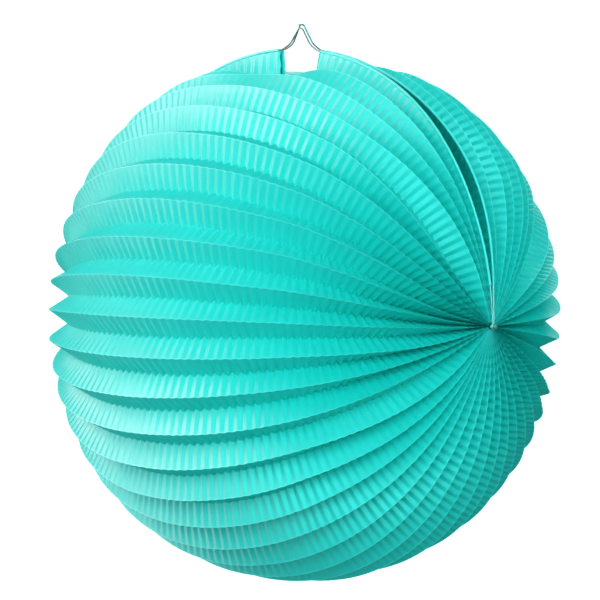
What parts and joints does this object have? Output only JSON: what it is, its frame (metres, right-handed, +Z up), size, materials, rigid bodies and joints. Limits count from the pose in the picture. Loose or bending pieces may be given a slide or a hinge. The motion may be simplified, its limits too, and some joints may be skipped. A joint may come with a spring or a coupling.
{
  "type": "paper lantern",
  "caption": "Round accordion lantern: a crimped turquoise paper strip pleated pole to pole, hemmed on two wire bows that hook together at a top peak over a lamp notch and fold flat.",
  "frame": {"origin": "underside of the front wire's peak, where a hanger bears, in the seam's middle plane", "axes": "+Z up; +X along the pole axis towards the right pole; the front faces -Y"},
  "size_m": [0.2258, 0.2494, 0.2624],
  "materials": {
    "pleat_paper": "crimped, matt",
    "end_paper": "crimped, hemmed",
    "wire": "drawn, zinc plated",
    "pin": "plated"
  },
  "bodies": {
    "rear_frame": {"rear_hem_wire": "wire", "rear_end_panel": "end_paper", "left_pole_pin": "pin", "right_pole_pin": "pin"},
    "front_frame": {"front_hem_wire": "wire", "front_end_panel": "end_paper"},
    "pleat_01": {"pleat_01": "pleat_paper"},
    "pleat_02": {"pleat_02": "pleat_paper"},
    "pleat_03": {"pleat_03": "pleat_paper"},
    "pleat_04": {"pleat_04": "pleat_paper"},
    "pleat_05": {"pleat_05": "pleat_paper"},
    "pleat_06": {"pleat_06": "pleat_paper"},
    "pleat_07": {"pleat_07": "pleat_paper"},
    "pleat_08": {"pleat_08": "pleat_paper"},
    "pleat_09": {"pleat_09": "pleat_paper"},
    "pleat_10": {"pleat_10": "pleat_paper"},
    "pleat_11": {"pleat_11": "pleat_paper"},
    "pleat_12": {"pleat_12": "pleat_paper"},
    "pleat_13": {"pleat_13": "pleat_paper"},
    "pleat_14": {"pleat_14": "pleat_paper"},
    "pleat_15": {"pleat_15": "pleat_paper"},
    "pleat_16": {"pleat_16": "pleat_paper"},
    "pleat_17": {"pleat_17": "pleat_paper"},
    "pleat_18": {"pleat_18": "pleat_paper"},
    "pleat_19": {"pleat_19": "pleat_paper"},
    "pleat_20": {"pleat_20": "pleat_paper"},
    "pleat_21": {"pleat_21": "pleat_paper"},
    "pleat_22": {"pleat_22": "pleat_paper"},
    "pleat_23": {"pleat_23": "pleat_paper"},
    "pleat_24": {"pleat_24": "pleat_paper"},
    "pleat_25": {"pleat_25": "pleat_paper"},
    "pleat_26": {"pleat_26": "pleat_paper"},
    "pleat_27": {"pleat_27": "pleat_paper"},
    "pleat_28": {"pleat_28": "pleat_paper"},
    "pleat_29": {"pleat_29": "pleat_paper"},
    "pleat_30": {"pleat_30": "pleat_paper"},
    "pleat_31": {"pleat_31": "pleat_paper"},
    "pleat_32": {"pleat_32": "pleat_paper"},
    "pleat_33": {"pleat_33": "pleat_paper"},
    "pleat_34": {"pleat_34": "pleat_paper"},
    "pleat_35": {"pleat_35": "pleat_paper"},
    "pleat_36": {"pleat_36": "pleat_paper"},
    "pleat_37": {"pleat_37": "pleat_paper"},
    "pleat_38": {"pleat_38": "pleat_paper"},
    "pleat_39": {"pleat_39": "pleat_paper"},
    "pleat_40": {"pleat_40": "pleat_paper"},
    "pleat_41": {"pleat_41": "pleat_paper"}
  },
  "joints": [
    {"name": "fold", "type": "hinge", "parent": "rear_frame", "child": "pleat_21", "pos_m": [0, 0, -0.1349], "axis": [1, 0, 0], "range_deg": [0, 168.7], "deforming": ["pleat_21"]},
    {"name": "pleat_41_turn", "type": "hinge", "parent": "rear_frame", "child": "pleat_41", "pos_m": [0, 0, -0.1349], "axis": [1, 0, 0], "range_deg": [0, 3.28], "deforming": ["pleat_41"]},
    {"name": "pleat_40_turn", "type": "hinge", "parent": "rear_frame", "child": "pleat_40", "pos_m": [0, 0, -0.1349], "axis": [1, 0, 0], "range_deg": [0, 11.55], "deforming": ["pleat_40"]},
    {"name": "pleat_39_turn", "type": "hinge", "parent": "rear_frame", "child": "pleat_39", "pos_m": [0, 0, -0.1349], "axis": [1, 0, 0], "range_deg": [0, 19.82], "deforming": ["pleat_39"]},
    {"name": "pleat_38_turn", "type": "hinge", "parent": "rear_frame", "child": "pleat_38", "pos_m": [0, 0, -0.1349], "axis": [1, 0, 0], "range_deg": [0, 28.09], "deforming": ["pleat_38"]},
    {"name": "pleat_37_turn", "type": "hinge", "parent": "rear_frame", "child": "pleat_37", "pos_m": [0, 0, -0.1349], "axis": [1, 0, 0], "range_deg": [0, 36.36], "deforming": ["pleat_37"]},
    {"name": "pleat_36_turn", "type": "hinge", "parent": "rear_frame", "child": "pleat_36", "pos_m": [0, 0, -0.1349], "axis": [1, 0, 0], "range_deg": [0, 44.63], "deforming": ["pleat_36"]},
    {"name": "pleat_35_turn", "type": "hinge", "parent": "rear_frame", "child": "pleat_35", "pos_m": [0, 0, -0.1349], "axis": [1, 0, 0], "range_deg": [0, 52.9], "deforming": ["pleat_35"]},
    {"name": "pleat_34_turn", "type": "hinge", "parent": "rear_frame", "child": "pleat_34", "pos_m": [0, 0, -0.1349], "axis": [1, 0, 0], "range_deg": [0, 61.18], "deforming": ["pleat_34"]},
    {"name": "pleat_33_turn", "type": "hinge", "parent": "rear_frame", "child": "pleat_33", "pos_m": [0, 0, -0.1349], "axis": [1, 0, 0], "range_deg": [0, 69.45], "deforming": ["pleat_33"]},
    {"name": "pleat_32_turn", "type": "hinge", "parent": "rear_frame", "child": "pleat_32", "pos_m": [0, 0, -0.1349], "axis": [1, 0, 0], "range_deg": [0, 77.72], "deforming": ["pleat_32"]},
    {"name": "pleat_31_turn", "type": "hinge", "parent": "rear_frame", "child": "pleat_31", "pos_m": [0, 0, -0.1349], "axis": [1, 0, 0], "range_deg": [0, 85.99], "deforming": ["pleat_31"]},
    {"name": "pleat_30_turn", "type": "hinge", "parent": "rear_frame", "child": "pleat_30", "pos_m": [0, 0, -0.1349], "axis": [1, 0, 0], "range_deg": [0, 94.26], "deforming": ["pleat_30"]},
    {"name": "pleat_29_turn", "type": "hinge", "parent": "rear_frame", "child": "pleat_29", "pos_m": [0, 0, -0.1349], "axis": [1, 0, 0], "range_deg": [0, 102.53], "deforming": ["pleat_29"]},
    {"name": "pleat_28_turn", "type": "hinge", "parent": "rear_frame", "child": "pleat_28", "pos_m": [0, 0, -0.1349], "axis": [1, 0, 0], "range_deg": [0, 110.81], "deforming": ["pleat_28"]},
    {"name": "pleat_27_turn", "type": "hinge", "parent": "rear_frame", "child": "pleat_27", "pos_m": [0, 0, -0.1349], "axis": [1, 0, 0], "range_deg": [0, 119.08], "deforming": ["pleat_27"]},
    {"name": "pleat_26_turn", "type": "hinge", "parent": "rear_frame", "child": "pleat_26", "pos_m": [0, 0, -0.1349], "axis": [1, 0, 0], "range_deg": [0, 127.35], "deforming": ["pleat_26"]},
    {"name": "pleat_25_turn", "type": "hinge", "parent": "rear_frame", "child": "pleat_25", "pos_m": [0, 0, -0.1349], "axis": [1, 0, 0], "range_deg": [0, 135.62], "deforming": ["pleat_25"]},
    {"name": "pleat_24_turn", "type": "hinge", "parent": "rear_frame", "child": "pleat_24", "pos_m": [0, 0, -0.1349], "axis": [1, 0, 0], "range_deg": [0, 143.89], "deforming": ["pleat_24"]},
    {"name": "pleat_23_turn", "type": "hinge", "parent": "rear_frame", "child": "pleat_23", "pos_m": [0, 0, -0.1349], "axis": [1, 0, 0], "range_deg": [0, 152.16], "deforming": ["pleat_23"]},
    {"name": "pleat_22_turn", "type": "hinge", "parent": "rear_frame", "child": "pleat_22", "pos_m": [0, 0, -0.1349], "axis": [1, 0, 0], "range_deg": [0, 160.43], "deforming": ["pleat_22"]},
    {"name": "pleat_20_turn", "type": "hinge", "parent": "pleat_21", "child": "pleat_20", "pos_m": [0, 0, -0.1349], "axis": [1, 0, 0], "range_deg": [0, 8.28], "deforming": ["pleat_20"]},
    {"name": "pleat_19_turn", "type": "hinge", "parent": "pleat_21", "child": "pleat_19", "pos_m": [0, 0, -0.1349], "axis": [1, 0, 0], "range_deg": [0, 16.55], "deforming": ["pleat_19"]},
    {"name": "pleat_18_turn", "type": "hinge", "parent": "pleat_21", "child": "pleat_18", "pos_m": [0, 0, -0.1349], "axis": [1, 0, 0], "range_deg": [0, 24.82], "deforming": ["pleat_18"]},
    {"name": "pleat_17_turn", "type": "hinge", "parent": "pleat_21", "child": "pleat_17", "pos_m": [0, 0, -0.1349], "axis": [1, 0, 0], "range_deg": [0, 33.09], "deforming": ["pleat_17"]},
    {"name": "pleat_16_turn", "type": "hinge", "parent": "pleat_21", "child": "pleat_16", "pos_m": [0, 0, -0.1349], "axis": [1, 0, 0], "range_deg": [0, 41.36], "deforming": ["pleat_16"]},
    {"name": "pleat_15_turn", "type": "hinge", "parent": "pleat_21", "child": "pleat_15", "pos_m": [0, 0, -0.1349], "axis": [1, 0, 0], "range_deg": [0, 49.63], "deforming": ["pleat_15"]},
    {"name": "pleat_14_turn", "type": "hinge", "parent": "pleat_21", "child": "pleat_14", "pos_m": [0, 0, -0.1349], "axis": [1, 0, 0], "range_deg": [0, 57.91], "deforming": ["pleat_14"]},
    {"name": "pleat_13_turn", "type": "hinge", "parent": "pleat_21", "child": "pleat_13", "pos_m": [0, 0, -0.1349], "axis": [1, 0, 0], "range_deg": [0, 66.18], "deforming": ["pleat_13"]},
    {"name": "pleat_12_turn", "type": "hinge", "parent": "pleat_21", "child": "pleat_12", "pos_m": [0, 0, -0.1349], "axis": [1, 0, 0], "range_deg": [0, 74.45], "deforming": ["pleat_12"]},
    {"name": "pleat_11_turn", "type": "hinge", "parent": "pleat_21", "child": "pleat_11", "pos_m": [0, 0, -0.1349], "axis": [1, 0, 0], "range_deg": [0, 82.72], "deforming": ["pleat_11"]},
    {"name": "pleat_10_turn", "type": "hinge", "parent": "pleat_21", "child": "pleat_10", "pos_m": [0, 0, -0.1349], "axis": [1, 0, 0], "range_deg": [0, 90.99], "deforming": ["pleat_10"]},
    {"name": "pleat_09_turn", "type": "hinge", "parent": "pleat_21", "child": "pleat_09", "pos_m": [0, 0, -0.1349], "axis": [1, 0, 0], "range_deg": [0, 99.26], "deforming": ["pleat_09"]},
    {"name": "pleat_08_turn", "type": "hinge", "parent": "pleat_21", "child": "pleat_08", "pos_m": [0, 0, -0.1349], "axis": [1, 0, 0], "range_deg": [0, 107.53], "deforming": ["pleat_08"]},
    {"name": "pleat_07_turn", "type": "hinge", "parent": "pleat_21", "child": "pleat_07", "pos_m": [0, 0, -0.1349], "axis": [1, 0, 0], "range_deg": [0, 115.81], "deforming": ["pleat_07"]},
    {"name": "pleat_06_turn", "type": "hinge", "parent": "pleat_21", "child": "pleat_06", "pos_m": [0, 0, -0.1349], "axis": [1, 0, 0], "range_deg": [0, 124.08], "deforming": ["pleat_06"]},
    {"name": "pleat_05_turn", "type": "hinge", "parent": "pleat_21", "child": "pleat_05", "pos_m": [0, 0, -0.1349], "axis": [1, 0, 0], "range_deg": [0, 132.35], "deforming": ["pleat_05"]},
    {"name": "pleat_04_turn", "type": "hinge", "parent": "pleat_21", "child": "pleat_04", "pos_m": [0, 0, -0.1349], "axis": [1, 0, 0], "range_deg": [0, 140.62], "deforming": ["pleat_04"]},
    {"name": "pleat_03_turn", "type": "hinge", "parent": "pleat_21", "child": "pleat_03", "pos_m": [0, 0, -0.1349], "axis": [1, 0, 0], "range_deg": [0, 148.89], "deforming": ["pleat_03"]},
    {"name": "pleat_02_turn", "type": "hinge", "parent": "pleat_21", "child": "pleat_02", "pos_m": [0, 0, -0.1349], "axis": [1, 0, 0], "range_deg": [0, 157.16], "deforming": ["pleat_02"]},
    {"name": "pleat_01_turn", "type": "hinge", "parent": "pleat_21", "child": "pleat_01", "pos_m": [0, 0, -0.1349], "axis": [1, 0, 0], "range_deg": [0, 165.43], "deforming": ["pleat_01"]},
    {"name": "front_frame_turn", "type": "hinge", "parent": "pleat_21", "child": "front_frame", "pos_m": [0, 0, -0.1349], "axis": [1, 0, 0], "range_deg": [0, 168.71]}
  ],
  "couplings": [
    {"joint": "pleat_41_turn", "follows": "fold", "ratio": 0.019392},
    {"joint": "pleat_40_turn", "follows": "fold", "ratio": 0.068422},
    {"joint": "pleat_39_turn", "follows": "fold", "ratio": 0.11745},
    {"joint": "pleat_38_turn", "follows": "fold", "ratio": 0.16648},
    {"joint": "pleat_37_turn", "follows": "fold", "ratio": 0.21551},
    {"joint": "pleat_36_turn", "follows": "fold", "ratio": 0.26454},
    {"joint": "pleat_35_turn", "follows": "fold", "ratio": 0.31357},
    {"joint": "pleat_34_turn", "follows": "fold", "ratio": 0.36261},
    {"joint": "pleat_33_turn", "follows": "fold", "ratio": 0.41163},
    {"joint": "pleat_32_turn", "follows": "fold", "ratio": 0.46067},
    {"joint": "pleat_31_turn", "follows": "fold", "ratio": 0.5097},
    {"joint": "pleat_30_turn", "follows": "fold", "ratio": 0.55873},
    {"joint": "pleat_29_turn", "follows": "fold", "ratio": 0.60776},
    {"joint": "pleat_28_turn", "follows": "fold", "ratio": 0.65679},
    {"joint": "pleat_27_turn", "follows": "fold", "ratio": 0.70582},
    {"joint": "pleat_26_turn", "follows": "fold", "ratio": 0.75485},
    {"joint": "pleat_25_turn", "follows": "fold", "ratio": 0.80388},
    {"joint": "pleat_24_turn", "follows": "fold", "ratio": 0.85291},
    {"joint": "pleat_23_turn", "follows": "fold", "ratio": 0.90194},
    {"joint": "pleat_22_turn", "follows": "fold", "ratio": 0.95097},
    {"joint": "pleat_20_turn", "follows": "fold", "ratio": 0.04903},
    {"joint": "pleat_19_turn", "follows": "fold", "ratio": 0.098061},
    {"joint": "pleat_18_turn", "follows": "fold", "ratio": 0.14709},
    {"joint": "pleat_17_turn", "follows": "fold", "ratio": 0.19612},
    {"joint": "pleat_16_turn", "follows": "fold", "ratio": 0.24515},
    {"joint": "pleat_15_turn", "follows": "fold", "ratio": 0.29418},
    {"joint": "pleat_14_turn", "follows": "fold", "ratio": 0.34321},
    {"joint": "pleat_13_turn", "follows": "fold", "ratio": 0.39224},
    {"joint": "pleat_12_turn", "follows": "fold", "ratio": 0.44127},
    {"joint": "pleat_11_turn", "follows": "fold", "ratio": 0.4903},
    {"joint": "pleat_10_turn", "follows": "fold", "ratio": 0.53933},
    {"joint": "pleat_09_turn", "follows": "fold", "ratio": 0.58837},
    {"joint": "pleat_08_turn", "follows": "fold", "ratio": 0.6374},
    {"joint": "pleat_07_turn", "follows": "fold", "ratio": 0.68643},
    {"joint": "pleat_06_turn", "follows": "fold", "ratio": 0.73546},
    {"joint": "pleat_05_turn", "follows": "fold", "ratio": 0.78449},
    {"joint": "pleat_04_turn", "follows": "fold", "ratio": 0.83352},
    {"joint": "pleat_03_turn", "follows": "fold", "ratio": 0.88255},
    {"joint": "pleat_02_turn", "follows": "fold", "ratio": 0.93158},
    {"joint": "pleat_01_turn", "follows": "fold", "ratio": 0.98061},
    {"joint": "front_frame_turn", "follows": "fold", "ratio": 1}
  ]
}
